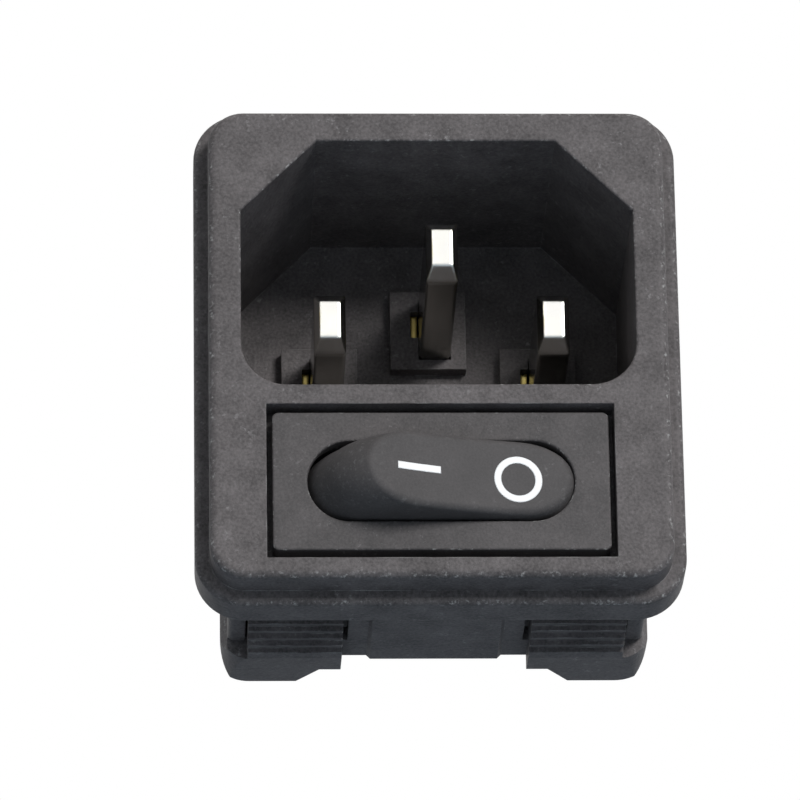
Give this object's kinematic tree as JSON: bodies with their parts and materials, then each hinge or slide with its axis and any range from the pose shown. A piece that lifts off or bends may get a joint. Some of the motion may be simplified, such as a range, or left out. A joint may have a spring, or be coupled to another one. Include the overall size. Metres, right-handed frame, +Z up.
{
  "type": "panel power inlet with rocker switch",
  "caption": "Snap-in panel power inlet: chamfered socket with flat upright pins, round-ended rocker switch below it, snap tongues round the barrel and push-on tabs behind.",
  "frame": {"origin": "middle of the flange's back face, where it seats on the panel", "axes": "+Y goes into the panel, the socket faces -Y, +Z is up towards the earth pin's side, +X is right as seen from the front"},
  "size_m": [0.0302, 0.0294, 0.033],
  "materials": {
    "inlet_housing": "fine spark-eroded texture",
    "line_pin": "satin nickel plate",
    "neutral_pin": "satin nickel plate",
    "earth_pin": "satin nickel plate",
    "line_tab": "satin",
    "neutral_tab": "satin",
    "earth_tab": "satin",
    "switch_frame": "fine matte texture",
    "rocker": "satin",
    "plunger": "smooth",
    "plunger_spring": "drawn wire",
    "switch_base": "fine matte texture",
    "common_terminal": "satin",
    "switched_terminal": "satin",
    "fixed_contact": "silver alloy",
    "seesaw_contact": "satin copper alloy",
    "moving_contact": "silver alloy"
  },
  "bodies": {
    "inlet": {"inlet_housing": "inlet_housing", "line_pin": "line_pin", "neutral_pin": "neutral_pin", "earth_pin": "earth_pin", "line_tab": "line_tab", "neutral_tab": "neutral_tab", "earth_tab": "earth_tab", "switch_frame": "switch_frame", "switch_base": "switch_base", "common_terminal": "common_terminal", "switched_terminal": "switched_terminal", "fixed_contact": "fixed_contact"},
    "rocker": {"rocker": "rocker", "plunger_spring": "plunger_spring"},
    "plunger": {"plunger": "plunger"},
    "contact": {"seesaw_contact": "seesaw_contact", "moving_contact": "moving_contact"}
  },
  "joints": [
    {"name": "rocker_pivot", "type": "hinge", "parent": "inlet", "child": "rocker", "pos_m": [0, 0.00015, -0.00918], "axis": [0, 0, 1], "range_deg": [-29, 0]},
    {"name": "plunger_slide", "type": "slide", "parent": "rocker", "child": "plunger", "axis": [0.2504, -0.9681, 0], "range_m": [0, 0.0008], "stiffness_N_per_m": 200, "deforming": ["plunger_spring"]},
    {"name": "contact_rock", "type": "hinge", "parent": "inlet", "child": "contact", "pos_m": [0, 0.00573, -0.00918], "axis": [0, 0, 1], "range_deg": [0, 20]}
  ],
  "couplings": [
    {"joint": "contact_rock", "follows": "rocker_pivot", "ratio": -0.6896}
  ]
}
